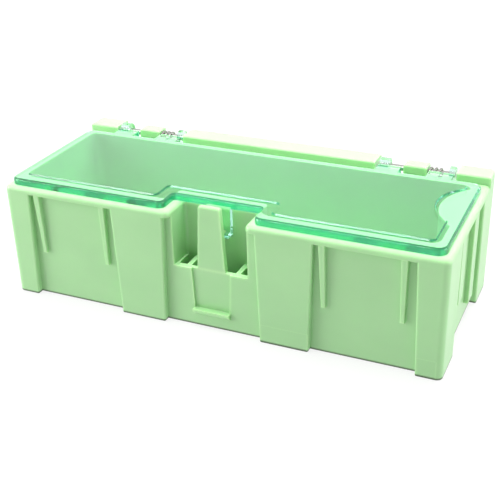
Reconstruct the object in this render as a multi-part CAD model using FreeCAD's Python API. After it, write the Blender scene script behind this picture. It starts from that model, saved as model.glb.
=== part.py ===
"""SMD component box: a three-module box body with a sprung clear lid.

Millimetres, +Z up. X runs along the front from left to right, Y from the front
(latch side, negative) to the rear (hinge side, positive). The origin is the
centre of the body's underside. Every piece is written to parts/NODE.step.
"""
import FreeCAD, Part
import math
import os

# Body, outside
module_pitch = 25.0          # length of one module along the front
module_count = 3
body_depth = 31.5            # front face to rear face, without the rear fins
rim_height = 20.1            # underside to the rim that the lid lies on
rail_rise = 1.4              # rear rail above the rim
rail_depth = 4.0             # front to rear over the rail
outer_corner_radius = 1.0
rim_edge_radius = 0.8
rail_edge_radius = 0.35

# Compartment
floor_thickness = 1.5
front_wall = 3.05
rear_wall = 6.75
side_wall = 2.4
compartment_corner_radius = 1.6
compartment_floor_radius = 0.8
boss_radius = 9.4            # half-round pillar on the right end wall
boss_reach = 3.1             # how far the pillar stands into the compartment
boss_shift = 0.5             # its centre, rearward of the body's centre

# Hollow under the rear rail, open at the underside
rear_pocket_wall = 1.2
rear_pocket_roof = 1.6

# Connector recesses on the front and on the right end
recess_depth = 1.12
recess_half_width_top = 7.79
recess_half_width_foot = 8.44
flange_thickness = 1.23      # lip left between the recess and the rim
recess_edge_radius = 0.3
pad_step_height = 3.2        # shallow step across the foot of the two right pads
pad_step_depth = 0.06
underside_edge_radius = 0.2

# Grip ribs in the front recesses
rib_slot_left = 0.75         # recess wall to rib, at the top
rib_slot_right = 1.3
rib_lean_left = 0.45         # how far the rib's outer side leans inward
rib_lean_right = 0.15
rib_width_top = 1.05
rib_width_foot = 0.7
rib_length = 10.6
rib_proud_top = 0.9
rib_proud_foot = 0.6
rib_edge_radius = 0.15

# Grip ribs in the end recess
end_rib_slot = 1.9
end_rib_width = 3.0
end_rib_foot_front = 7.5     # height of the front rib's lower end
end_rib_foot_rear = 3.0
end_rib_proud = 0.8

# Connector fins on the rear and on the left end
fin_thickness = 0.55
fin_clearance = 0.1          # to the recess wall of the next box
fin_proud = 1.0
fin_foot = 0.6
fin_top_clearance = 0.5      # below the next box's flange

# Latch well in the middle module
latch_offset = -0.25         # well, tongue and hook beside the module's centre
well_half_width = 6.45
well_depth = 5.65            # front face to the well's back wall
well_wall = 1.2
well_mouth_radius = 1.0
well_back_radius = 0.6
panel_top = 10.4             # top of the low panel that closes the well's front
panel_thickness = 1.03
pocket_depth = 0.35
pocket_half_width_top = 3.45
pocket_half_width_foot = 3.05
pocket_foot = 3.3
ledge_half_width = 3.2
ledge_height = 0.8
ledge_proud = 0.75
bar_offset = 4.3             # bars from the panel back to the well's back wall
bar_width = 0.8
bar_drop = 0.1               # bar tops below the panel's top
bar_height = 2.2
side_bar_width = 0.35
root_height = 5.0            # thick root under the tongue

# Latch tongue
tongue_rise = 1.3            # tongue top above the rim
tongue_half_width_top = 1.78
tongue_half_width_root = 2.42
tongue_thickness = 0.95
tongue_tip_radius = 0.45
catch_half_width = 1.55
catch_lip = 0.25             # height of the catch's rear face
catch_slope_height = 1.05
latch_gap = 0.1              # between hook and catch when the box is closed
latch_engagement = 0.4

# Lid
lid_seat_gap = 0.03          # between rim and closed lid
lid_side_inset = 0.9
lid_front_inset = 0.7
lid_rear_gap = 2.0           # to the rail
lid_edge_thickness = 1.15
lid_edge_radius = 0.5
lid_corner_radius = 1.6
plateau_rise = 0.25
plateau_inset = 1.95
plateau_corner_radius = 1.0
plateau_slope = 0.22
plateau_bay_radius = 7.5     # bay in the raised part over the pillar
plateau_bay_centre_inset = -1.65
notch_side_gap = 1.2         # lid notch beyond the well's side walls
notch_overhang = 1.0         # lid in front of the well's back wall
notch_lobe_radius = 1.2
notch_back_radius = 0.5

# Hook under the lid
hook_half_width = 2.1
hook_wall_gap = 0.1
hook_length = 4.8
hook_tip_radius = 0.3
barb_height = 0.9
barb_reach = 1.0

# Hinges, one in each end module
pin_radius = 0.5
pin_end_chamfer = 0.12
pin_setback = 1.25           # pin axis behind the rail's front face
pin_lift = 0.5               # pin axis above the rim
hinge_half_width = 6.9       # gap in the rail
hinge_block_half_width = 1.95
hinge_block_depth = 2.7
hinge_block_rise = 0.2       # block top above the rail
hinge_side_clearance = 0.4   # between the block and the lid's tabs
ear_radius = 1.4
ear_width_left = 1.6
ear_width_right = 0.9
ear_gap_left = 0.7           # ear to the end of the gap in the rail
ear_gap_right = 0.4
ear_bore_clearance = 0.05
ear_front_clearance = 0.3
ear_floor_clearance = 0.8

# Torsion springs, one on each pin
wire_radius = 0.15
coil_clearance = 0.1         # between pin and coil
coil_side_clearance = 0.12   # between hinge block and coil
coil_pitch = 0.8
coil_full_turns = 2
spring_tab_clearance = 0.2
spring_leg_hole_clearance = 0.06
spring_leg_hole_depth = 0.9
spring_leg_hole_bottom_gap = 0.1
spring_arm_slope_deg = 18.0
spring_arm_length = 2.3
spring_arm_groove_width = 0.6
spring_arm_groove_gap = 0.06

# Places worked out from the sizes
half_length = module_pitch * module_count / 2.0
front_y = -body_depth / 2.0
rear_y = body_depth / 2.0
module_centres = [-half_length + module_pitch * (index + 0.5) for index in range(module_count)]
middle_x = module_centres[module_count // 2]
latch_x = middle_x + latch_offset
hinge_centres = {"left": module_centres[0], "right": module_centres[-1]}
flange_z = rim_height - flange_thickness
rail_top = rim_height + rail_rise
rail_front_y = rear_y - rail_depth
panel_y = front_y + recess_depth
pocket_y = panel_y + pocket_depth
well_back_y = front_y + well_depth
compartment_front_y = front_y + front_wall
compartment_rear_y = rear_y - rear_wall
compartment_half_length = half_length - side_wall
pin_y = rail_front_y + pin_setback
pin_z = rim_height + pin_lift
hinge_floor_z = pin_z - ear_radius - ear_floor_clearance
hinge_front_y = pin_y - ear_radius - ear_front_clearance
tongue_rear_y = pocket_y + tongue_thickness
tongue_top = rim_height + tongue_rise
lid_front_y = front_y + lid_front_inset
lid_rear_y = rail_front_y - lid_rear_gap
lid_half_length = half_length - lid_side_inset
lid_bottom = rim_height + lid_seat_gap
lid_edge_top = rim_height + lid_edge_thickness
notch_back_y = well_back_y - notch_overhang
notch_half_width = well_half_width + notch_side_gap
hook_rear_y = well_back_y - hook_wall_gap
hook_foot_z = rim_height - hook_length
barb_front_y = notch_back_y - barb_reach
hinge_block_top = rail_top + hinge_block_rise
ear_outer_left = hinge_half_width - ear_gap_left
ear_outer_right = hinge_half_width - ear_gap_right
tab_inner = hinge_block_half_width + hinge_side_clearance
coil_radius = pin_radius + coil_clearance + wire_radius
tab_rear_y = pin_y - coil_radius - wire_radius - spring_tab_clearance

OVERLAP = 0.5                # how far joined shapes run into each other
CUT = 2.0                    # how far cutters run past a face


def box(x0, x1, y0, y1, z0, z1):
    """Return an axis-aligned block between the given faces."""
    return Part.makeBox(x1 - x0, y1 - y0, z1 - z0, FreeCAD.Vector(x0, y0, z0))


def rod(radius, x0, x1, y, z):
    """Return a cylinder along X."""
    return Part.makeCylinder(radius, x1 - x0, FreeCAD.Vector(x0, y, z), FreeCAD.Vector(1, 0, 0))


def outline_face(corners, z):
    """Return a flat face at height z from corners given as (x, y, corner radius)."""
    count = len(corners)
    starts = []
    ends = []
    middles = []
    for index, (x, y, radius) in enumerate(corners):
        here = FreeCAD.Vector(x, y, z)
        before = FreeCAD.Vector(*corners[index - 1][:2], z)
        after = FreeCAD.Vector(*corners[(index + 1) % count][:2], z)
        to_before = (before - here).normalize()
        to_after = (after - here).normalize()
        half_angle = to_before.getAngle(to_after) / 2.0
        run = radius / math.tan(half_angle)
        bisector = (to_before + to_after).normalize()
        centre = here + bisector * (radius / math.sin(half_angle))
        starts.append(here + to_before * run)
        ends.append(here + to_after * run)
        middles.append(centre - bisector * radius)
    edges = []
    for index in range(count):
        if corners[index][2] > 0:
            edges.append(Part.Arc(starts[index], middles[index], ends[index]).toShape())
        edges.append(Part.LineSegment(ends[index], starts[(index + 1) % count]).toShape())
    return Part.Face(Part.Wire(edges))


def prism(corners, z0, z1):
    """Return an upright prism on a rounded outline."""
    return outline_face(corners, z0).extrude(FreeCAD.Vector(0, 0, z1 - z0))


def slab_along_x(profile, x0, x1):
    """Return a block along X with the given (y, z) corner points."""
    points = [FreeCAD.Vector(x0, y, z) for y, z in profile]
    face = Part.Face(Part.makePolygon(points + points[:1]))
    return face.extrude(FreeCAD.Vector(x1 - x0, 0, 0))


def slab_along_y(profile, y0, y1):
    """Return a block along Y with the given (x, z) corner points."""
    points = [FreeCAD.Vector(x, y0, z) for x, z in profile]
    face = Part.Face(Part.makePolygon(points + points[:1]))
    return face.extrude(FreeCAD.Vector(0, y1 - y0, 0))


def taper(x0, x1, y0, y1, z0, upper_x0, upper_x1, upper_y0, upper_y1, z1):
    """Return a straight-sided block between a lower and an upper rectangle."""
    lower = [(x0, y0), (x1, y0), (x1, y1), (x0, y1)]
    upper = [(upper_x0, upper_y0), (upper_x1, upper_y0), (upper_x1, upper_y1), (upper_x0, upper_y1)]
    wires = []
    for points, z in ((lower, z0), (upper, z1)):
        corners = [FreeCAD.Vector(x, y, z) for x, y in points]
        wires.append(Part.makePolygon(corners + corners[:1]))
    return Part.makeLoft(wires, True, True)


def edges_where(shape, test):
    """Return the shape's edges whose bounding box passes the test."""
    return [edge for edge in shape.Edges if test(edge.BoundBox)]


def at(value, target):
    """Tell whether a coordinate lies on the target plane."""
    return abs(value - target) < 0.001


def one_solid(shape, name):
    """Return the shape's only solid, cleaned of split faces."""
    clean = shape.removeSplitter()
    if len(clean.Solids) != 1 or not clean.Solids[0].isValid():
        raise ValueError(name + " is not one valid solid")
    return clean.Solids[0]


def write(shape, name):
    """Write one piece and print its volume."""
    shape.exportStep("parts/" + name + ".step")
    print(name, "volume", round(shape.Volume, 3), "valid", shape.isValid())


def turned_to_right_end(shape):
    """Turn a shape made for the front face so that it lies on the right end."""
    turned = shape.copy()
    turned.rotate(FreeCAD.Vector(0, 0, 0), FreeCAD.Vector(0, 0, 1), 90)
    turned.translate(FreeCAD.Vector(half_length + front_y, 0, 0))
    return turned


# Body

def connector_recess(centre_x):
    """Return the cutter for one connector recess in the front face."""
    profile = [
        (centre_x - recess_half_width_foot, 0.0),
        (centre_x + recess_half_width_foot, 0.0),
        (centre_x + recess_half_width_top, flange_z),
        (centre_x - recess_half_width_top, flange_z),
    ]
    opened = slab_along_y(profile, front_y - CUT, panel_y)
    below = box(
        centre_x - recess_half_width_foot, centre_x + recess_half_width_foot,
        front_y - CUT, panel_y, -CUT, 0.0)
    return opened.fuse(below)


def recess_edges(body):
    """Return the outer edges of the recesses and the front edges of the latch well."""
    slant = recess_half_width_foot - recess_half_width_top

    def on_front(b):
        side = at(b.XLength, slant) and at(b.ZMax, flange_z)
        upper = at(b.ZMin, flange_z) and at(b.ZMax, flange_z)
        return at(b.YMin, front_y) and at(b.YMax, front_y) and (side or upper)

    def on_end(b):
        side = at(b.YLength, slant) and at(b.ZMax, flange_z)
        upper = at(b.ZMin, flange_z) and at(b.ZMax, flange_z)
        return at(b.XMin, half_length) and at(b.XMax, half_length) and (side or upper)

    return edges_where(body, lambda b: on_front(b) or on_end(b))


def rib_front_edges(rib):
    """Return the edges round a rib's front face, without the one under the flange."""
    return edges_where(rib, lambda b: b.YMax < panel_y - 0.1 and not at(b.ZMin, flange_z))


def grip_rib(centre_x, side, slot, lean):
    """Return one tapering grip rib of a front recess."""
    outer_top = recess_half_width_top - slot
    outer_foot = outer_top - lean
    top = sorted((centre_x + side * outer_top, centre_x + side * (outer_top - rib_width_top)))
    foot = sorted((centre_x + side * outer_foot, centre_x + side * (outer_foot - rib_width_foot)))
    back = panel_y + OVERLAP
    rib = taper(
        foot[0], foot[1], panel_y - rib_proud_foot, back, flange_z - rib_length,
        top[0], top[1], panel_y - rib_proud_top, back, flange_z)
    return rib.makeFillet(rib_edge_radius, rib_front_edges(rib))


def end_rib(side, foot_z):
    """Return one grip rib of the end recess, placed as if on the front face."""
    outer = recess_half_width_top - end_rib_slot
    edges = sorted((side * outer, side * (outer - end_rib_width)))
    rib = box(edges[0], edges[1], panel_y - end_rib_proud, panel_y + OVERLAP, foot_z, flange_z)
    return rib.makeFillet(rib_edge_radius, rib_front_edges(rib))


def pad_steps():
    """Return the cutters for the shallow step across the foot of the two right pads."""
    cutters = []
    for x0, x1 in (
            (middle_x + recess_half_width_top, module_centres[-1] - recess_half_width_top),
            (module_centres[-1] + recess_half_width_top, half_length - outer_corner_radius)):
        cutters.append(box(x0, x1, front_y - CUT, front_y + pad_step_depth, -CUT, pad_step_height))
    return cutters


def underside_edges(body):
    """Return the outer edges of the body's underside."""
    def outer(b):
        front = b.YMax < panel_y + 0.001
        rear = b.YMin > rear_y - outer_corner_radius - 0.001
        left = b.XMax < outer_corner_radius - half_length + 0.001
        right = b.XMin > half_length - recess_depth - 0.001
        return at(b.ZMin, 0.0) and at(b.ZMax, 0.0) and (front or rear or left or right)

    return edges_where(body, outer)


def connector_fins(centre_x):
    """Return the pair of fins for one module, placed as if on the front face."""
    outer = recess_half_width_top - fin_clearance
    fins = []
    for side in (-1, 1):
        edges = sorted((centre_x + side * outer, centre_x + side * (outer - fin_thickness)))
        fins.append(box(
            edges[0], edges[1], front_y - fin_proud, front_y + OVERLAP,
            fin_foot, flange_z - fin_top_clearance))
    return fins


def body_block():
    """Return the outer block with the latch well's slot and the rounded rim."""
    corners = [
        (-half_length, rear_y, outer_corner_radius),
        (-half_length, front_y, outer_corner_radius),
        (latch_x - well_half_width, front_y, well_mouth_radius),
        (latch_x - well_half_width, well_back_y, well_back_radius),
        (latch_x + well_half_width, well_back_y, well_back_radius),
        (latch_x + well_half_width, front_y, well_mouth_radius),
        (half_length, front_y, outer_corner_radius),
        (half_length, rear_y, outer_corner_radius),
    ]
    block = prism(corners, 0.0, rim_height)
    rim = edges_where(block, lambda b: at(b.ZMin, rim_height) and at(b.ZMax, rim_height))
    return block.makeFillet(rim_edge_radius, rim)


def rear_rail():
    """Return the raised rail along the rear, with its rounded upper edges."""
    corners = [
        (-half_length, rear_y, outer_corner_radius),
        (-half_length, rail_front_y, 0.0),
        (half_length, rail_front_y, 0.0),
        (half_length, rear_y, outer_corner_radius),
    ]
    rail = prism(corners, 0.0, rail_top)
    top = edges_where(rail, lambda b: at(b.ZMin, rail_top) and at(b.ZMax, rail_top))
    return rail.makeFillet(rail_edge_radius, top)


def compartment():
    """Return the cutter for the compartment, which goes round the latch well."""
    well_outer = well_half_width + well_wall
    well_rear_y = well_back_y + well_wall
    corners = [
        (-compartment_half_length, compartment_rear_y, compartment_corner_radius),
        (-compartment_half_length, compartment_front_y, compartment_corner_radius),
        (latch_x - well_outer, compartment_front_y, compartment_corner_radius),
        (latch_x - well_outer, well_rear_y, well_back_radius),
        (latch_x + well_outer, well_rear_y, well_back_radius),
        (latch_x + well_outer, compartment_front_y, compartment_corner_radius),
        (compartment_half_length, compartment_front_y, compartment_corner_radius),
        (compartment_half_length, compartment_rear_y, compartment_corner_radius),
    ]
    hollow = prism(corners, floor_thickness, rail_top + CUT)
    foot = edges_where(hollow, lambda b: at(b.ZMin, floor_thickness) and at(b.ZMax, floor_thickness))
    return hollow.makeFillet(compartment_floor_radius, foot)


def end_boss():
    """Return the half-round pillar on the compartment's right end wall."""
    centre_x = compartment_half_length - boss_reach + boss_radius
    pillar = Part.makeCylinder(
        boss_radius, rim_height - floor_thickness + OVERLAP,
        FreeCAD.Vector(centre_x, boss_shift, floor_thickness - OVERLAP))
    keep = box(
        compartment_half_length - boss_reach - CUT, compartment_half_length + OVERLAP,
        compartment_front_y, compartment_rear_y, 0.0, rim_height)
    return pillar.common(keep)


def rear_pockets():
    """Return the cutters that hollow the rear wall from below, one per module."""
    cutters = []
    for centre_x in module_centres:
        cutters.append(box(
            centre_x - module_pitch / 2.0 + rear_pocket_wall,
            centre_x + module_pitch / 2.0 - rear_pocket_wall,
            compartment_rear_y + rear_pocket_wall, rear_y - rear_pocket_wall,
            -CUT, hinge_floor_z - rear_pocket_roof))
    return cutters


def latch_panel():
    """Return what stands in the latch well: panel, bars, floor and tongue root."""
    x0 = latch_x - well_half_width - OVERLAP
    x1 = latch_x + well_half_width + OVERLAP
    panel_rear_y = panel_y + panel_thickness
    back = well_back_y + OVERLAP
    pieces = [box(x0, x1, panel_y, back, 0.0, floor_thickness)]
    bar_top = panel_top - bar_drop
    for side in (-1, 1):
        near = latch_x + side * bar_offset
        pieces.append(box(
            near - bar_width / 2.0, near + bar_width / 2.0,
            panel_rear_y - OVERLAP, back, bar_top - bar_height, bar_top))
        wall = latch_x + side * well_half_width
        edges = sorted((wall + side * OVERLAP, wall - side * side_bar_width))
        pieces.append(box(edges[0], edges[1], panel_rear_y - OVERLAP, back, bar_top - bar_height, bar_top))
    pieces.append(box(
        latch_x - tongue_half_width_root, latch_x + tongue_half_width_root,
        panel_rear_y - OVERLAP, tongue_rear_y, panel_top - root_height, panel_top))
    panel = box(x0, x1, panel_y, panel_rear_y, 0.0, panel_top)
    pocket = slab_along_y([
        (latch_x - pocket_half_width_foot, pocket_foot),
        (latch_x + pocket_half_width_foot, pocket_foot),
        (latch_x + pocket_half_width_top, panel_top + CUT),
        (latch_x - pocket_half_width_top, panel_top + CUT),
    ], panel_y - CUT, pocket_y)
    ledge = slab_along_x([
        (panel_y + OVERLAP, pocket_foot),
        (panel_y - ledge_proud, pocket_foot),
        (panel_y - ledge_proud, pocket_foot - ledge_height / 2.0),
        (panel_y, pocket_foot - ledge_height - ledge_proud / 2.0),
        (panel_y + OVERLAP, pocket_foot - ledge_height - ledge_proud / 2.0),
    ], latch_x - ledge_half_width, latch_x + ledge_half_width)
    return panel.cut(pocket).fuse(pieces + [ledge])


def hinge_seat(centre_x):
    """Return the cutter for the gap in the rail and the block that stands in it."""
    gap = box(
        centre_x - hinge_half_width, centre_x + hinge_half_width,
        hinge_front_y, rear_y + CUT, hinge_floor_z, rail_top + CUT)
    block = box(
        centre_x - hinge_block_half_width, centre_x + hinge_block_half_width,
        rail_front_y, rail_front_y + hinge_block_depth,
        hinge_floor_z - OVERLAP, hinge_block_top)
    upper = edges_where(block, lambda b: at(b.ZMin, hinge_block_top) and at(b.ZMax, hinge_block_top))
    return gap, block.makeFillet(rail_edge_radius, upper)


def spring_leg_hole(centre_x):
    """Return the cutter for the hole that the spring's lower leg stands in."""
    return Part.makeCylinder(
        wire_radius + spring_leg_hole_clearance, spring_leg_hole_depth + CUT / 2.0,
        FreeCAD.Vector(coil_start(centre_x), pin_y - coil_radius, hinge_floor_z - spring_leg_hole_depth))


def box_body():
    """Return the body: outer block, compartment, recesses, latch well and hinge seats."""
    body = body_block().fuse(rear_rail())
    body = body.cut([compartment()] + rear_pockets())
    body = body.fuse(end_boss())

    recesses = [connector_recess(centre_x) for centre_x in module_centres]
    end_recess = turned_to_right_end(connector_recess(0.0))
    body = body.cut(recesses + [end_recess]).removeSplitter()
    body = body.makeFillet(recess_edge_radius, recess_edges(body))

    ribs = []
    for centre_x in module_centres:
        if centre_x != middle_x:
            ribs.append(grip_rib(centre_x, -1, rib_slot_left, rib_lean_left))
            ribs.append(grip_rib(centre_x, 1, rib_slot_right, rib_lean_right))
    ribs.append(turned_to_right_end(end_rib(-1, end_rib_foot_front)))
    ribs.append(turned_to_right_end(end_rib(1, end_rib_foot_rear)))

    fins = []
    for centre_x in module_centres:
        for fin in connector_fins(centre_x):
            fins.append(fin.mirror(FreeCAD.Vector(0, 0, 0), FreeCAD.Vector(0, 1, 0)))
    for fin in connector_fins(0.0):
        fins.append(turned_to_right_end(fin).mirror(FreeCAD.Vector(0, 0, 0), FreeCAD.Vector(1, 0, 0)))
    body = body.fuse(ribs + fins + [latch_panel()]).removeSplitter()
    body = body.makeFillet(underside_edge_radius, underside_edges(body)).cut(pad_steps())

    gaps = []
    blocks = []
    for centre_x in hinge_centres.values():
        gap, block = hinge_seat(centre_x)
        gaps.append(gap)
        blocks.append(block)
    body = body.cut(gaps).fuse(blocks)
    bores = []
    for centre_x in hinge_centres.values():
        bores.append(rod(
            pin_radius, centre_x - hinge_block_half_width - CUT,
            centre_x + hinge_block_half_width + CUT, pin_y, pin_z))
        bores.append(spring_leg_hole(centre_x))
    return one_solid(body.cut(bores), "box_body")


# Latch tongue

def latch_tongue():
    """Return the springy tongue that stands on the panel and holds the lid's hook."""
    tongue = slab_along_y([
        (latch_x - tongue_half_width_root, panel_top),
        (latch_x + tongue_half_width_root, panel_top),
        (latch_x + tongue_half_width_top, tongue_top),
        (latch_x - tongue_half_width_top, tongue_top),
    ], pocket_y, tongue_rear_y)
    tip = edges_where(tongue, lambda b: at(b.ZMin, tongue_top) and at(b.ZMax, tongue_top))
    tongue = tongue.makeFillet(tongue_tip_radius, tip)
    catch_foot = hook_foot_z + barb_height + latch_gap
    catch_rear_y = barb_front_y + latch_engagement
    catch = slab_along_x([
        (tongue_rear_y - OVERLAP, catch_foot),
        (catch_rear_y, catch_foot),
        (catch_rear_y, catch_foot + catch_lip),
        (tongue_rear_y, catch_foot + catch_lip + catch_slope_height),
        (tongue_rear_y - OVERLAP, catch_foot + catch_lip + catch_slope_height),
    ], latch_x - catch_half_width, latch_x + catch_half_width)
    return one_solid(tongue.fuse(catch), "latch_tongue")


# Lid

def lid_outline(inset, corner_radius, lobe_radius, back_radius):
    """Return the corners of the lid's outline, drawn in by the inset."""
    side = lid_half_length - inset
    front = lid_front_y + inset
    rear = lid_rear_y - inset
    notch_side = notch_half_width + inset
    notch_back = notch_back_y + inset
    return [
        (-side, rear, corner_radius),
        (-side, front, corner_radius),
        (latch_x - notch_side, front, lobe_radius),
        (latch_x - notch_side, notch_back, back_radius),
        (latch_x + notch_side, notch_back, back_radius),
        (latch_x + notch_side, front, lobe_radius),
        (side, front, corner_radius),
        (side, rear, corner_radius),
    ]


def lid_plate():
    """Return the lid's plate with its rounded edge and raised middle."""
    outline = lid_outline(0.0, lid_corner_radius, notch_lobe_radius, notch_back_radius)
    plate = prism(outline, lid_bottom, lid_edge_top)
    rim = edges_where(plate, lambda b: at(b.ZMin, lid_edge_top) and at(b.ZMax, lid_edge_top))
    plate = plate.makeFillet(lid_edge_radius, rim)

    plateau_top = lid_edge_top + plateau_rise
    inner = lid_outline(plateau_inset, plateau_corner_radius, plateau_corner_radius, notch_back_radius)
    plateau = prism(inner, rim_height + lid_edge_thickness / 2.0, plateau_top)
    bay = Part.makeCylinder(
        plateau_bay_radius, lid_edge_thickness + plateau_rise + CUT,
        FreeCAD.Vector(half_length - plateau_bay_centre_inset, 0, rim_height))
    plateau = plateau.cut(bay)
    upper = edges_where(plateau, lambda b: at(b.ZMin, plateau_top) and at(b.ZMax, plateau_top))
    plateau = plateau.makeChamfer(plateau_slope, upper)
    return plate.fuse(plateau)


def lid_hook():
    """Return the hook that hangs from the lid's notch edge into the latch well."""
    hook = slab_along_x([
        (hook_rear_y, rim_height + OVERLAP),
        (hook_rear_y, hook_foot_z),
        (barb_front_y, hook_foot_z),
        (barb_front_y, hook_foot_z + barb_height),
        (notch_back_y, hook_foot_z + barb_height),
        (notch_back_y, rim_height + OVERLAP),
    ], latch_x - hook_half_width, latch_x + hook_half_width)
    foot = edges_where(hook, lambda b: at(b.ZMax, hook_foot_z) and b.XLength > hook_half_width)
    return hook.makeFillet(hook_tip_radius, foot)


def hinge_ears(centre_x):
    """Return the two tabs with round ears that reach from the lid to one pin."""
    shapes = []
    for side, outer, width in ((-1, ear_outer_left, ear_width_left), (1, ear_outer_right, ear_width_right)):
        tab = sorted((centre_x + side * tab_inner, centre_x + side * outer))
        ear = sorted((centre_x + side * (outer - width), centre_x + side * outer))
        shapes.append(box(tab[0], tab[1], lid_rear_y - plateau_inset, tab_rear_y, lid_bottom, lid_edge_top))
        shapes.append(box(ear[0], ear[1], lid_rear_y - plateau_inset, pin_y, lid_bottom, lid_edge_top))
        shapes.append(rod(ear_radius, ear[0], ear[1], pin_y, pin_z))
    return shapes


def spring_arm_groove(centre_x):
    """Return the cutter for the groove under the lid that takes the spring's arm."""
    end_y, end_z = spring_arm_end()
    x = coil_end(centre_x)
    return box(
        x - spring_arm_groove_width / 2.0, x + spring_arm_groove_width / 2.0,
        end_y - spring_arm_groove_width, tab_rear_y + CUT / 4.0,
        rim_height - CUT, end_z + wire_radius + spring_arm_groove_gap)


def lid():
    """Return the clear lid with its hook, tabs and ears."""
    additions = [lid_hook()]
    cutters = []
    for centre_x in hinge_centres.values():
        additions += hinge_ears(centre_x)
        cutters.append(rod(
            pin_radius + ear_bore_clearance, centre_x - ear_outer_left - CUT,
            centre_x + ear_outer_right + CUT, pin_y, pin_z))
        cutters.append(spring_arm_groove(centre_x))
    return one_solid(lid_plate().fuse(additions).cut(cutters), "lid")


# Hinge pins

def hinge_pin(centre_x):
    """Return one hinge pin, held in the block and reaching through both ears."""
    pin = rod(pin_radius, centre_x - ear_outer_left, centre_x + ear_outer_right, pin_y, pin_z)
    ends = edges_where(pin, lambda b: b.XLength < 0.001)
    return one_solid(pin.makeChamfer(pin_end_chamfer, ends), "hinge_pin")


# Torsion springs

def coil_start(centre_x):
    """Return where the coil begins beside the hinge block."""
    return centre_x + hinge_block_half_width + coil_side_clearance + wire_radius


def coil_end(centre_x):
    """Return where the coil ends beside the ear."""
    return coil_start(centre_x) + coil_pitch * coil_turns()


def coil_turns():
    """Return the turns from the lower leg, over the top, round to the arm."""
    return coil_full_turns + (270.0 + spring_arm_slope_deg) / 360.0


def coil_point(centre_x, turns):
    """Return a point of the coil's centre line after so many turns."""
    angle = math.pi - 2.0 * math.pi * turns
    return FreeCAD.Vector(
        coil_start(centre_x) + coil_pitch * turns,
        pin_y + coil_radius * math.cos(angle),
        pin_z + coil_radius * math.sin(angle))


def coil_direction(turns, flat):
    """Return the coil's unit direction, without its pitch where it is flat."""
    angle = math.pi - 2.0 * math.pi * turns
    rise = 0.0 if flat else coil_pitch / (2.0 * math.pi)
    return FreeCAD.Vector(rise, coil_radius * math.sin(angle), -coil_radius * math.cos(angle)).normalize()


def spring_arm_end():
    """Return the (y, z) of the arm's free end."""
    start = coil_point(0.0, coil_turns())
    tip = start + coil_direction(coil_turns(), True) * spring_arm_length
    return tip.y, tip.z


def arc_from(start, corner, end):
    """Return the arc from start to end whose end tangents meet at the corner."""
    half_chord = (end - start).Length / 2.0
    middle = (start + end) * 0.5
    leg = (corner - start).Length
    tangent_angle = math.acos(min(1.0, half_chord / leg))
    sagitta = half_chord * math.tan(tangent_angle / 2.0)
    return Part.Arc(start, middle + (corner - middle).normalize() * sagitta, end).toShape()


def biarc(start, start_direction, end, end_direction):
    """Return two arcs that join two points and directions smoothly."""
    chord = end - start
    total = start_direction + end_direction
    a = total.dot(total) - 4.0
    b = -2.0 * chord.dot(total)
    c = chord.dot(chord)
    leg = (-b - math.sqrt(b * b - 4.0 * a * c)) / (2.0 * a)
    first = start + start_direction * leg
    second = end - end_direction * leg
    joint = (first + second) * 0.5
    return [arc_from(start, first, joint), arc_from(joint, second, end)]


def coil_stations():
    """Return the turns at which the coil's quarter arcs meet."""
    stations = [index / 4.0 for index in range(int(coil_turns() * 4.0) + 1)]
    stations[-1] = coil_turns()
    return stations


def spring_path(centre_x):
    """Return the spring's centre line: lower leg, coil and arm."""
    top_of_leg = coil_point(centre_x, 0.0)
    leg_foot = FreeCAD.Vector(top_of_leg)
    leg_foot.z = hinge_floor_z - spring_leg_hole_depth + spring_leg_hole_bottom_gap
    edges = [Part.LineSegment(leg_foot, top_of_leg).toShape()]
    stations = coil_stations()
    for first, second in zip(stations, stations[1:]):
        edges += biarc(
            coil_point(centre_x, first), coil_direction(first, first == 0.0),
            coil_point(centre_x, second), coil_direction(second, second == stations[-1]))
    arm_start = coil_point(centre_x, stations[-1])
    arm_tip = arm_start + coil_direction(stations[-1], True) * spring_arm_length
    edges.append(Part.LineSegment(arm_start, arm_tip).toShape())
    return Part.Wire(edges), leg_foot


def least_gap(centre_line):
    """Return the least gap of the wire to itself, measured on points."""
    points = centre_line.discretize(Number=600)
    step = centre_line.Length / (len(points) - 1)
    skip = int(math.pi * coil_radius / step)
    least = centre_line.Length
    for index, point in enumerate(points):
        for other in points[index + skip:]:
            least = min(least, (point - other).Length)
    return least - 2.0 * wire_radius


def torsion_spring(centre_x):
    """Return one spring as one unbroken round wire."""
    path, foot = spring_path(centre_x)
    circle = Part.Wire(Part.Circle(foot, FreeCAD.Vector(0, 0, 1), wire_radius).toShape())
    spring = path.makePipeShell([circle], True, False)
    print("spring least gap", round(least_gap(path), 3),
          "volume against section times length",
          round(spring.Volume / (math.pi * wire_radius ** 2 * path.Length), 4))
    return one_solid(spring, "torsion_spring")


def main():
    """Build every piece and write it."""
    os.makedirs("parts", exist_ok=True)
    write(box_body(), "box_body")
    write(latch_tongue(), "latch_tongue")
    write(lid(), "lid")
    for side, centre_x in hinge_centres.items():
        write(hinge_pin(centre_x), "hinge_pin_" + side)
        write(torsion_spring(centre_x), "torsion_spring_" + side)


main()
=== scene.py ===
"""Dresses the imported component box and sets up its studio.

Everything is in metres in the CAD frame: X along the box, Y to its rear and Z up. A name that
ends in _mm is in millimetres, because grain and wire sizes are easier to read that way.
"""

import logging
import math
from dataclasses import dataclass
from enum import Enum
from typing import Any

import bmesh
import bpy
from mathutils import Matrix, Quaternion, Vector


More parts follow.
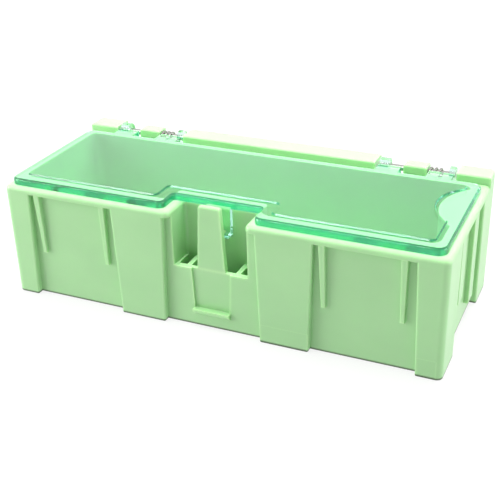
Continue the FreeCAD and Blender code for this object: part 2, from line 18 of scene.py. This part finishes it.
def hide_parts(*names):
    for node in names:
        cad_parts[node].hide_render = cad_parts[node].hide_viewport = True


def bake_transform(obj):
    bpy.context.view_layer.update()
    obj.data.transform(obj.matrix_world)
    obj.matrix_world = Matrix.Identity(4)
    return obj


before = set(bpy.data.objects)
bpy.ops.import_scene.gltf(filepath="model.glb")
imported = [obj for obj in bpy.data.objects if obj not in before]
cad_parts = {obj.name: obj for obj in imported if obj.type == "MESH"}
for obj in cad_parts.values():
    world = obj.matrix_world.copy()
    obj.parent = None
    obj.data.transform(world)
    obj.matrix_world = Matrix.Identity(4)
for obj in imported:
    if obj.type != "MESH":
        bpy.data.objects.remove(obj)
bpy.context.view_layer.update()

log = logging.getLogger("component_box")

Triple = tuple[float, float, float]
Colour = tuple[float, float, float, float]

MILLIMETRE = 0.001
FULL_TURN = 2 * math.pi
# most of a noise lies between these two, so a range that starts from them is used to the full
NOISE_MIDDLE = {"From Min": 0.3, "From Max": 0.7}


class Side(Enum):
    """The two hinges, by the direction from the middle of the box."""

    LEFT = -1
    RIGHT = 1

    @property
    def word(self) -> str:
        """The side's word in the names of nodes and pieces."""
        return self.name.lower()


def linear(shade: str) -> Colour:
    """Turns an sRGB hex colour to the linear colour that shaders take.

    Args:
        shade: six hex digits, such as "a8dca2".

    Returns:
        Linear red, green and blue, and an alpha of 1.
    """
    channels = [int(shade[start:start + 2], 16) / 255 for start in (0, 2, 4)]
    red, green, blue = (
        channel / 12.92 if channel <= 0.04045 else ((channel + 0.055) / 1.055) ** 2.4
        for channel in channels)
    return red, green, blue, 1.0


def add_node(tree: bpy.types.NodeTree, kind: str, inputs: dict[str | int, Any] | None = None,
             **settings: Any) -> bpy.types.Node:
    """Adds a shader node with its settings, values and links.

    Args:
        tree: the node tree that gets the node.
        kind: the node's type, without the ShaderNode in front.
        inputs: a value, or the socket to link from, for each input by name or number.
        settings: the node's own settings by name.

    Returns:
        The new node.
    """
    node = tree.nodes.new("ShaderNode" + kind)
    for name, value in settings.items():
        setattr(node, name, value)
    for name, value in (inputs or {}).items():
        if isinstance(value, bpy.types.NodeSocket):
            tree.links.new(value, node.inputs[name])
        else:
            node.inputs[name].default_value = value
    return node


def empty_material(name: str) -> tuple[bpy.types.Material, bpy.types.NodeTree]:
    """Makes a material with no nodes in it.

    Args:
        name: the material's name.

    Returns:
        The material and its node tree.
    """
    material = bpy.data.materials.new(name)
    material.use_nodes = True
    material.node_tree.nodes.clear()
    return material, material.node_tree


def pattern(tree: bpy.types.NodeTree, cell_mm: Triple, detail: float = 2.0,
            fineness: float = 0.5) -> bpy.types.NodeSocket:
    """Lays an uneven pattern over an object, in cells of a real size.

    Args:
        tree: the material's node tree.
        cell_mm: the size of one cell along X, Y and Z.
        detail: how many finer layers lie on the first.
        fineness: how much each finer layer adds.

    Returns:
        The pattern's value, from 0 to 1.
    """
    place = add_node(tree, "TexCoord")
    cells = add_node(tree, "Mapping", {
        "Vector": place.outputs["Object"],
        "Scale": tuple(1 / (size * MILLIMETRE) for size in cell_mm)})
    return add_node(tree, "TexNoise", {
        "Vector": cells.outputs["Vector"], "Scale": 1.0, "Detail": detail,
        "Roughness": fineness}).outputs["Fac"]


def add_object(name: str, data: bpy.types.ID) -> bpy.types.Object:
    """Makes an object and links it to the scene.

    Args:
        name: the object's name.
        data: its mesh, lamp or lens.

    Returns:
        The new object.
    """
    made = bpy.data.objects.new(name, data)
    bpy.context.scene.collection.objects.link(made)
    return made


@dataclass(frozen=True)
class MouldedGreen:
    """Injection-moulded ABS, pale green, from a mould with a fine spark-eroded face.

    The eye sees a satin, slightly waxy green: soft highlights on the rounded edges, a colour
    that clouds and sinks a little where the melt flowed, and upright patches of more gloss where
    the faces slide on a neighbouring box. Light creeps a little way into it, so shaded places
    stay green. Thin ribs and outer edges carry a painted highlight, a paler colour that stands in
    for the light getting through them, and the edge that stands on the bench carries a painted
    contact shadow, a dark band along the foot.
    """

    name: str = "moulded ABS, satin pale green"
    shade: str = "a4d59a"
    cloud_shade: str = "9ecf95"
    # painted highlight: the pale colour of thin ribs and outer edges, standing in for light that
    # gets through them
    edge_highlight_shade: str = "c2ecae"
    # painted contact shadow: the dark colour along the foot, standing in for the shade where the
    # box meets the table
    contact_shadow_shade: str = "34492d"
    ior: float = 1.54
    roughness: float = 0.33
    rubbed_roughness: float = 0.29
    rub_mm: Triple = (3.0, 3.0, 15.0)
    cloud_mm: Triple = (14.0, 14.0, 9.0)
    sink_depth_mm: float = 0.12
    sink_strength: float = 0.35
    # the real grain is about 0.05, drawn coarser so that it shows
    grain_mm: Triple = (0.28, 0.28, 0.28)
    grain_depth_mm: float = 0.01
    grain_strength: float = 0.3
    # how far red, green and blue light creeps
    creep_mm: Triple = (0.4, 1.0, 0.4)
    creep_weight: float = 0.25
    edge_reach_mm: float = 0.5
    # share of the looks inwards that meet no other face: in a thick wall, and at the edge with
    # the strongest painted highlight
    edge_openness: tuple[float, float] = (0.95, 0.45)
    # how far the painted highlight pales the colour
    edge_highlight_strength: float = 0.65
    edge_samples: int = 6
    # full painted contact shadow below the first height, none over the second
    contact_shadow_mm: tuple[float, float] = (0.2, 0.5)

    def painted_edge_highlight(self, tree: bpy.types.NodeTree, colour: bpy.types.NodeSocket
              ) -> bpy.types.NodeSocket:
        """Paints a highlight: pales a colour where the plastic is thin or ends in an outer edge.

        Args:
            tree: the material's node tree.
            colour: the colour of a thick wall.

        Returns:
            The colour with its painted edge highlights.
        """
        depth = add_node(tree, "AmbientOcclusion", {
            "Distance": self.edge_reach_mm * MILLIMETRE},
            inside=True, only_local=True, samples=self.edge_samples)
        thick, thin = self.edge_openness
        # painted highlight: thin plastic and outer edges are paled towards the highlight shade
        highlight_amount = add_node(tree, "MapRange", {
            "Value": depth.outputs["AO"], "From Min": thick, "From Max": thin,
            "To Min": 0.0, "To Max": self.edge_highlight_strength})
        return add_node(tree, "Mix", {
            "Factor": highlight_amount.outputs["Result"], "A": colour, "B": linear(self.edge_highlight_shade)},
            data_type="RGBA").outputs["Result"]

    def painted_contact_shadow(self, tree: bpy.types.NodeTree, colour: bpy.types.NodeSocket
               ) -> bpy.types.NodeSocket:
        """Paints a contact shadow: darkens a colour along the edge that stands on the bench.

        Args:
            tree: the material's node tree.
            colour: the colour without the shadow.

        Returns:
            The colour with its painted contact shadow.
        """
        full, none = (height * MILLIMETRE for height in self.contact_shadow_mm)
        place = add_node(tree, "TexCoord")
        height = add_node(tree, "SeparateXYZ", {"Vector": place.outputs["Object"]})
        # painted contact shadow: full below the first height, fading out by the second
        contact_shadow = add_node(tree, "MapRange", {
            "Value": height.outputs["Z"], "From Min": full, "From Max": none,
            "To Min": 1.0, "To Max": 0.0})
        return add_node(tree, "Mix", {
            "Factor": contact_shadow.outputs["Result"], "A": colour, "B": linear(self.contact_shadow_shade)},
            data_type="RGBA").outputs["Result"]

    def material(self) -> bpy.types.Material:
        """Builds the plastic's material.

        Returns:
            The material of body and tongue.
        """
        material, tree = empty_material(self.name)
        clouds = pattern(tree, self.cloud_mm, detail=3.0)
        cloudiness = add_node(tree, "MapRange", {"Value": clouds, **NOISE_MIDDLE})
        clouded = add_node(tree, "Mix", {
            "Factor": cloudiness.outputs["Result"], "A": linear(self.shade),
            "B": linear(self.cloud_shade)}, data_type="RGBA")
        # painted edge highlights, then the painted contact shadow along the foot
        colour = self.painted_contact_shadow(tree, self.painted_edge_highlight(tree, clouded.outputs["Result"]))
        rubs = pattern(tree, self.rub_mm, detail=0.0)
        roughness = add_node(tree, "MapRange", {
            "Value": rubs, **NOISE_MIDDLE, "To Min": self.roughness,
            "To Max": self.rubbed_roughness})
        sinks = add_node(tree, "Bump", {
            "Height": clouds, "Distance": self.sink_depth_mm * MILLIMETRE,
            "Strength": self.sink_strength})
        grain = add_node(tree, "Bump", {
            "Height": pattern(tree, self.grain_mm, detail=1.0),
            "Distance": self.grain_depth_mm * MILLIMETRE, "Strength": self.grain_strength,
            "Normal": sinks.outputs["Normal"]})
        surface = add_node(tree, "BsdfPrincipled", {
            "Base Color": colour, "Roughness": roughness.outputs["Result"], "IOR": self.ior,
            "Subsurface Weight": self.creep_weight, "Subsurface Radius": self.creep_mm,
            "Subsurface Scale": MILLIMETRE, "Normal": grain.outputs["Normal"]})
        add_node(tree, "OutputMaterial", {"Surface": surface.outputs["BSDF"]})
        return material


@dataclass(frozen=True)
class ClearTintedSheet:
    """Moulded transparent polystyrene with a green dye, from a polished mould.

    The eye sees a glossy pane: the inside shows through it a little darker and greener, the
    long way through an edge or a hook is deeper green, and the gloss waves very slightly.
    """

    name: str = "moulded clear polystyrene, green tint"
    ior: float = 1.59
    roughness: float = 0.05
    scuffed_roughness: float = 0.09
    scuff_mm: Triple = (5.0, 0.6, 0.6)
    wave_mm: Triple = (9.0, 9.0, 9.0)
    wave_depth_mm: float = 0.05
    wave_strength: float = 0.2
    # how much red, green and blue come through one millimetre
    passed_per_mm: Triple = (0.885, 0.979, 0.958)
    tint: str = "f6fffa"
    # over 1, so that no channel of the dye's colour comes out at zero
    dye_density_factor: float = 1.05

    def dye(self) -> tuple[Colour, float]:
        """Works out the absorption that lets the given share of each colour through.

        Returns:
            The absorption's colour, and its density per metre.
        """
        taken = [-math.log(share) / MILLIMETRE for share in self.passed_per_mm]
        density = max(taken) * self.dye_density_factor
        red, green, blue = (1 - each / density for each in taken)
        return (red, green, blue, 1.0), density

    def material(self) -> bpy.types.Material:
        """Builds the pane's material: glass to the eye, and open to the light that fills it.

        Returns:
            The lid's material.
        """
        material, tree = empty_material(self.name)
        scuffs = pattern(tree, self.scuff_mm, detail=3.0, fineness=0.6)
        roughness = add_node(tree, "MapRange", {
            "Value": scuffs, **NOISE_MIDDLE, "To Min": self.roughness,
            "To Max": self.scuffed_roughness})
        waves = add_node(tree, "Bump", {
            "Height": pattern(tree, self.wave_mm, detail=1.0),
            "Distance": self.wave_depth_mm * MILLIMETRE, "Strength": self.wave_strength})
        glass = add_node(tree, "BsdfPrincipled", {
            "Base Color": linear(self.tint), "Transmission Weight": 1.0, "IOR": self.ior,
            "Roughness": roughness.outputs["Result"], "Normal": waves.outputs["Normal"]})
        opening = add_node(tree, "BsdfTransparent", {"Color": linear(self.tint)})
        ray = add_node(tree, "LightPath")
        filling = add_node(tree, "Math", {
            0: ray.outputs["Is Shadow Ray"], 1: ray.outputs["Is Diffuse Ray"]},
            operation="MAXIMUM")
        surface = add_node(tree, "MixShader", {
            0: filling.outputs[0], 1: glass.outputs[0], 2: opening.outputs[0]})
        colour, density = self.dye()
        volume = add_node(tree, "VolumeAbsorption", {"Color": colour, "Density": density})
        add_node(tree, "OutputMaterial", {
            "Surface": surface.outputs[0], "Volume": volume.outputs[0]})
        return material


@dataclass(frozen=True)
class DrawnSteel:
    """Drawn steel, bare and bright, with fine lines along the wire from the die.

    The eye sees a grey metal with a long highlight that the draw lines break up a little.
    """

    name: str
    shade: str
    dull_shade: str
    roughness: float
    dull_roughness: float
    line_mm: Triple
    line_depth_mm: float = 0.004
    line_strength: float = 0.5

    def material(self) -> bpy.types.Material:
        """Builds the steel's material.

        Returns:
            The material of a pin or a wire.
        """
        material, tree = empty_material(self.name)
        lines = pattern(tree, self.line_mm)
        dullness = add_node(tree, "MapRange", {"Value": lines, **NOISE_MIDDLE})
        colour = add_node(tree, "Mix", {
            "Factor": dullness.outputs["Result"], "A": linear(self.shade),
            "B": linear(self.dull_shade)}, data_type="RGBA")
        roughness = add_node(tree, "MapRange", {
            "Value": lines, **NOISE_MIDDLE, "To Min": self.roughness,
            "To Max": self.dull_roughness})
        drawn = add_node(tree, "Bump", {
            "Height": lines, "Distance": self.line_depth_mm * MILLIMETRE,
            "Strength": self.line_strength})
        surface = add_node(tree, "BsdfPrincipled", {
            "Base Color": colour.outputs["Result"], "Metallic": 1.0,
            "Roughness": roughness.outputs["Result"], "Normal": drawn.outputs["Normal"]})
        add_node(tree, "OutputMaterial", {"Surface": surface.outputs["BSDF"]})
        return material


PIN_STEEL = DrawnSteel(
    name="drawn steel pin, bright", shade="c9c9c4", dull_shade="a9a9a5",
    roughness=0.22, dull_roughness=0.34, line_mm=(3.0, 0.08, 0.08))
SPRING_STEEL = DrawnSteel(
    name="spring steel wire, oiled", shade="b4b2ad", dull_shade="94928d",
    roughness=0.26, dull_roughness=0.38, line_mm=(0.3, 0.1, 0.1))


@dataclass(frozen=True)
class LitLaminate:
    """Matt laminate over a lamp, as on a photographer's light table.

    The eye sees plain white with hardly a shadow, because most of the light comes out of the
    table. It glows more away from the box, where the lamps no longer reach.
    """

    name: str = "matt white laminate"
    shade: str = "60605f"
    glow_shade: str = "ffffff"
    near_glow: float = 0.82
    far_glow: float = 1.03
    # how far from the middle the glow starts to grow, and where it is full
    glow_reach: tuple[float, float] = (0.15, 0.9)
    ior: float = 1.45
    roughness: float = 0.55
    dull_roughness: float = 0.65
    speck_mm: Triple = (1.5, 1.5, 1.5)

    def material(self) -> bpy.types.Material:
        """Builds the laminate's material.

        Returns:
            The table's material.
        """
        material, tree = empty_material(self.name)
        roughness = add_node(tree, "MapRange", {
            "Value": pattern(tree, self.speck_mm), **NOISE_MIDDLE, "To Min": self.roughness,
            "To Max": self.dull_roughness})
        place = add_node(tree, "TexCoord")
        away = add_node(tree, "VectorMath", {0: place.outputs["Object"]}, operation="LENGTH")
        near, far = self.glow_reach
        glow = add_node(tree, "MapRange", {
            "Value": away.outputs["Value"], "From Min": near, "From Max": far,
            "To Min": self.near_glow, "To Max": self.far_glow})
        surface = add_node(tree, "BsdfPrincipled", {
            "Base Color": linear(self.shade), "IOR": self.ior,
            "Roughness": roughness.outputs["Result"],
            "Emission Color": linear(self.glow_shade),
            "Emission Strength": glow.outputs["Result"]})
        add_node(tree, "OutputMaterial", {"Surface": surface.outputs["BSDF"]})
        return material


def dress(node: str, material: bpy.types.Material) -> bpy.types.Object:
    """Gives a CAD node its material.

    Args:
        node: the node's name.
        material: its new material.

    Returns:
        The node's object.
    """
    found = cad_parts[node]
    found.data.materials.clear()
    found.data.materials.append(material)
    return found


@dataclass
class Housing:
    """The green moulding: the box body and the tongue that is moulded with it."""

    finish: MouldedGreen = MouldedGreen()
    nodes: tuple[str, ...] = ("box_body", "latch_tongue")

    def build(self) -> list[bpy.types.Object]:
        """Dresses the two nodes of the moulding."""
        plastic = self.finish.material()
        return [dress(node, plastic) for node in self.nodes]


@dataclass
class Lid:
    """The clear lid with its hook, tabs and ears."""

    finish: ClearTintedSheet = ClearTintedSheet()
    node: str = "lid"

    def build(self) -> list[bpy.types.Object]:
        """Dresses the lid."""
        return [dress(self.node, self.finish.material())]


@dataclass
class HingePins:
    """The two steel pins that the lid turns on."""

    finish: DrawnSteel = PIN_STEEL

    def build(self) -> list[bpy.types.Object]:
        """Dresses both pins."""
        steel = self.finish.material()
        return [dress(f"hinge_pin_{side.word}", steel) for side in Side]


@dataclass
class TorsionSpring:
    """A wire spring on a hinge pin: a leg in the body, a coil, and an arm under the lid's tab."""

    side: Side
    steel: bpy.types.Material
    slot: str = "spring_steel"
    hinge_x: float = 25.0 * MILLIMETRE
    axis_y: float = 13.0 * MILLIMETRE
    axis_z: float = 20.6 * MILLIMETRE
    wire_radius: float = 0.15 * MILLIMETRE
    coil_radius: float = 0.75 * MILLIMETRE
    coil_offset: float = 2.22 * MILLIMETRE
    coil_pitch: float = 0.8 * MILLIMETRE
    turns: float = 2.8
    leg_foot_z: float = 17.6 * MILLIMETRE
    arm_length: float = 2.3 * MILLIMETRE
    end_chamfer: float = 0.04 * MILLIMETRE
    chamfer_steps: int = 2
    wire_sides: int = 16
    steps_per_turn: int = 48

    @property
    def coil_start(self) -> Vector:
        """Where the leg becomes the coil, in front of the pin."""
        x = self.side.value * self.hinge_x + self.coil_offset
        return Vector((x, self.axis_y - self.coil_radius, self.axis_z))

    @property
    def coil_end_x(self) -> float:
        """How far along the pin the coil reaches."""
        return self.coil_start.x + self.coil_pitch * self.turns

    @property
    def arm_direction(self) -> Vector:
        """Which way the wire points where the coil ends."""
        angle = FULL_TURN * self.turns
        return Vector((0.0, math.sin(angle), math.cos(angle)))

    def build(self) -> bpy.types.Object:
        """Sweeps the wire: a straight leg, a coil along the pin, and a straight arm.

        Returns:
            The spring's piece.
        """
        bm = bmesh.new()
        foot = Vector((self.coil_start.x, self.coil_start.y, self.leg_foot_z))
        ring = bmesh.ops.create_circle(
            bm, segments=self.wire_sides, radius=self.wire_radius, cap_ends=True,
            matrix=Matrix.Translation(foot))["verts"]
        edges = list({edge for vert in ring for edge in vert.link_edges})
        edges = self.lengthen(bm, edges, Vector((0.0, 0.0, self.axis_z - self.leg_foot_z)))
        steps = round(self.steps_per_turn * self.turns)
        wound = bmesh.ops.spin(
            bm, geom=edges, cent=(self.coil_start.x, self.axis_y, self.axis_z),
            axis=(-1.0, 0.0, 0.0), dvec=(self.coil_pitch * self.turns / steps, 0.0, 0.0),
            angle=FULL_TURN * self.turns, steps=steps, use_duplicate=False)["geom_last"]
        edges = [item for item in wound if isinstance(item, bmesh.types.BMEdge)]
        edges = self.lengthen(bm, edges, self.arm_direction * self.arm_length)
        bmesh.ops.contextual_create(bm, geom=edges)
        bmesh.ops.recalc_face_normals(bm, faces=bm.faces)
        self.chamfer_ends(bm)
        for face in bm.faces:
            face.smooth = len(face.verts) < self.wire_sides
        mesh = bpy.data.meshes.new(f"wire_spring_{self.side.word}")
        bm.to_mesh(mesh)
        bm.free()
        mesh.materials.append(self.steel)
        piece = add_object(mesh.name, mesh)
        self.hang(piece)
        return piece

    @staticmethod
    def lengthen(bm: bmesh.types.BMesh, edges: list[bmesh.types.BMEdge], run: Vector
                 ) -> list[bmesh.types.BMEdge]:
        """Extrudes the wire's open end along a straight run.

        Args:
            bm: the wire's mesh.
            edges: the ring at its open end.
            run: how far and which way it goes.

        Returns:
            The ring at the new open end.
        """
        new = bmesh.ops.extrude_edge_only(bm, edges=edges)["geom"]
        verts = [item for item in new if isinstance(item, bmesh.types.BMVert)]
        bmesh.ops.translate(bm, verts=verts, vec=run)
        moved = set(verts)
        return [item for item in new if isinstance(item, bmesh.types.BMEdge)
                and moved.issuperset(item.verts)]

    def chamfer_ends(self, bm: bmesh.types.BMesh) -> None:
        """Takes the sharp rim off the two cut ends of the wire.

        Args:
            bm: the wire's mesh, closed at both ends.
        """
        caps = [face for face in bm.faces if len(face.verts) == self.wire_sides]
        rims = list({edge for face in caps for edge in face.edges})
        bmesh.ops.bevel(
            bm, geom=rims, offset=self.end_chamfer, offset_type="OFFSET",
            segments=self.chamfer_steps, profile=0.5, affect="EDGES", material=-1)

    def hang(self, piece: bpy.types.Object) -> None:
        """Bakes the spring's placing into its mesh, and hides the CAD spring that it stands in
        for.

        Args:
            piece: the spring's object.
        """
        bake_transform(piece)
        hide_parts(f"torsion_spring_{self.side.word}")


class Ray(Enum):
    """The kinds of ray that a lamp may meet, by the switch that a lamp has for each."""

    MATT = "visible_diffuse"
    MIRRORED = "visible_glossy"
    REFRACTED = "visible_transmission"


@dataclass(frozen=True)
class Softbox:
    """A rectangular softbox that faces the box and lights the kinds of ray that it meets."""

    name: str
    place: Triple
    width: float
    height: float
    watts: float
    target: Triple = (0.0, 0.0, 0.012)
    meets: tuple[Ray, ...] = tuple(Ray)

    def build(self) -> None:
        """Places the light and turns it to its target."""
        lamp = bpy.data.lights.new(self.name, "AREA")
        lamp.shape, lamp.energy = "RECTANGLE", self.watts
        lamp.size, lamp.size_y = self.width, self.height
        light = add_object(self.name, lamp)
        for ray in Ray:
            setattr(light, ray.value, ray in self.meets)
        way = Vector(self.target) - Vector(self.place)
        light.matrix_world = (Matrix.Translation(self.place)
                              @ way.to_track_quat("-Z", "Y").to_matrix().to_4x4())


@dataclass
class Studio:
    """A white light table under soft light, and the camera at the photograph's place."""

    table: LitLaminate = LitLaminate()
    table_size: float = 6.0
    sky_shade: str = "ffffff"
    # the first lights matt faces, the second is what is seen and mirrored
    sky_strength: float = 0.18
    seen_strength: float = 1.03
    camera_place: Triple = (0.0594693, -0.1303009, 0.0815687)
    camera_turn: tuple[float, float, float, float] = (0.8375663, 0.5058596, 0.1172923, 0.1697976)
    focal_length: float = 67.731
    film_width: float = 36.0
    nearest_seen: float = 0.005
    # the large lamps over the box would blow out the lid's mirror images, so matt faces alone
    # meet them, and the edge strip draws only the pale lines along the lid's step
    softboxes: tuple[Softbox, ...] = (
        Softbox("top softbox", (0.00, 0.05, 0.55), 0.30, 0.30, 5.1, meets=(Ray.MATT,)),
        Softbox("strip softbox", (-0.19, -0.21, 0.42), 0.34, 0.08, 0.22),
        Softbox("edge strip", (-0.21, -0.24, 0.44), 0.34, 0.05, 0.45,
                target=(-0.21, 0.0, 0.012), meets=(Ray.MIRRORED,)),
        Softbox("rear softbox", (0.10, 0.30, 0.40), 0.30, 0.30, 1.7, meets=(Ray.MATT,)),
        Softbox("front softbox", (-0.24, -0.13, 0.10), 0.16, 0.16, 0.60),
        Softbox("right softbox", (0.50, 0.06, 0.18), 0.35, 0.35, 1.4),
    )
    # light passes many faces of the clear lid before it gets out
    light_bounces: int = 40

    def build(self) -> None:
        """Sets up the table, the sky, the lights and the camera."""
        self.lay_table()
        self.hang_sky()
        for softbox in self.softboxes:
            softbox.build()
        self.place_camera()
        scene = bpy.context.scene
        scene.view_settings.view_transform = "Standard"
        scene.cycles.max_bounces = self.light_bounces
        scene.cycles.transmission_bounces = self.light_bounces
        scene.cycles.glossy_bounces = self.light_bounces

    def lay_table(self) -> None:
        """Lays the light table that the box stands on."""
        bm = bmesh.new()
        bmesh.ops.create_grid(bm, x_segments=1, y_segments=1, size=self.table_size / 2)
        mesh = bpy.data.meshes.new("table")
        bm.to_mesh(mesh)
        bm.free()
        mesh.materials.append(self.table.material())
        add_object("table", mesh)

    def hang_sky(self) -> None:
        """Surrounds the scene with even white, brighter to the eye than it is as a lamp."""
        world = bpy.data.worlds.new("white room")
        world.use_nodes = True
        tree = world.node_tree
        tree.nodes.clear()
        ray = add_node(tree, "LightPath")
        mirrored = add_node(tree, "Math", {
            0: ray.outputs["Is Glossy Ray"], 1: ray.outputs["Is Transmission Ray"]})
        seen = add_node(tree, "Math", {
            0: ray.outputs["Is Camera Ray"], 1: mirrored.outputs[0]})
        strength = add_node(tree, "MapRange", {
            "Value": seen.outputs[0], "To Min": self.sky_strength, "To Max": self.seen_strength})
        sky = add_node(tree, "Background", {
            "Color": linear(self.sky_shade), "Strength": strength.outputs["Result"]})
        add_node(tree, "OutputWorld", {"Surface": sky.outputs[0]})
        bpy.context.scene.world = world

    def place_camera(self) -> None:
        """Puts the camera where the photograph was taken from."""
        lens = bpy.data.cameras.new("camera")
        lens.sensor_width, lens.lens = self.film_width, self.focal_length
        lens.clip_start = self.nearest_seen
        camera = add_object("camera", lens)
        camera.matrix_world = (Matrix.Translation(self.camera_place)
                               @ Quaternion(self.camera_turn).to_matrix().to_4x4())
        bpy.context.scene.camera = camera


def main() -> None:
    """Builds the studio and every sub-assembly, and reports each piece."""
    logging.basicConfig(level=logging.INFO, format="%(name)s: %(message)s")
    Studio().build()
    pieces = Housing().build() + Lid().build() + HingePins().build()
    wire = SPRING_STEEL.material()
    pieces += [TorsionSpring(side, wire).build() for side in Side]
    for piece in pieces:
        log.info("%s: %d faces", piece.name, len(piece.data.polygons))


if __name__ == "__main__":
    main()
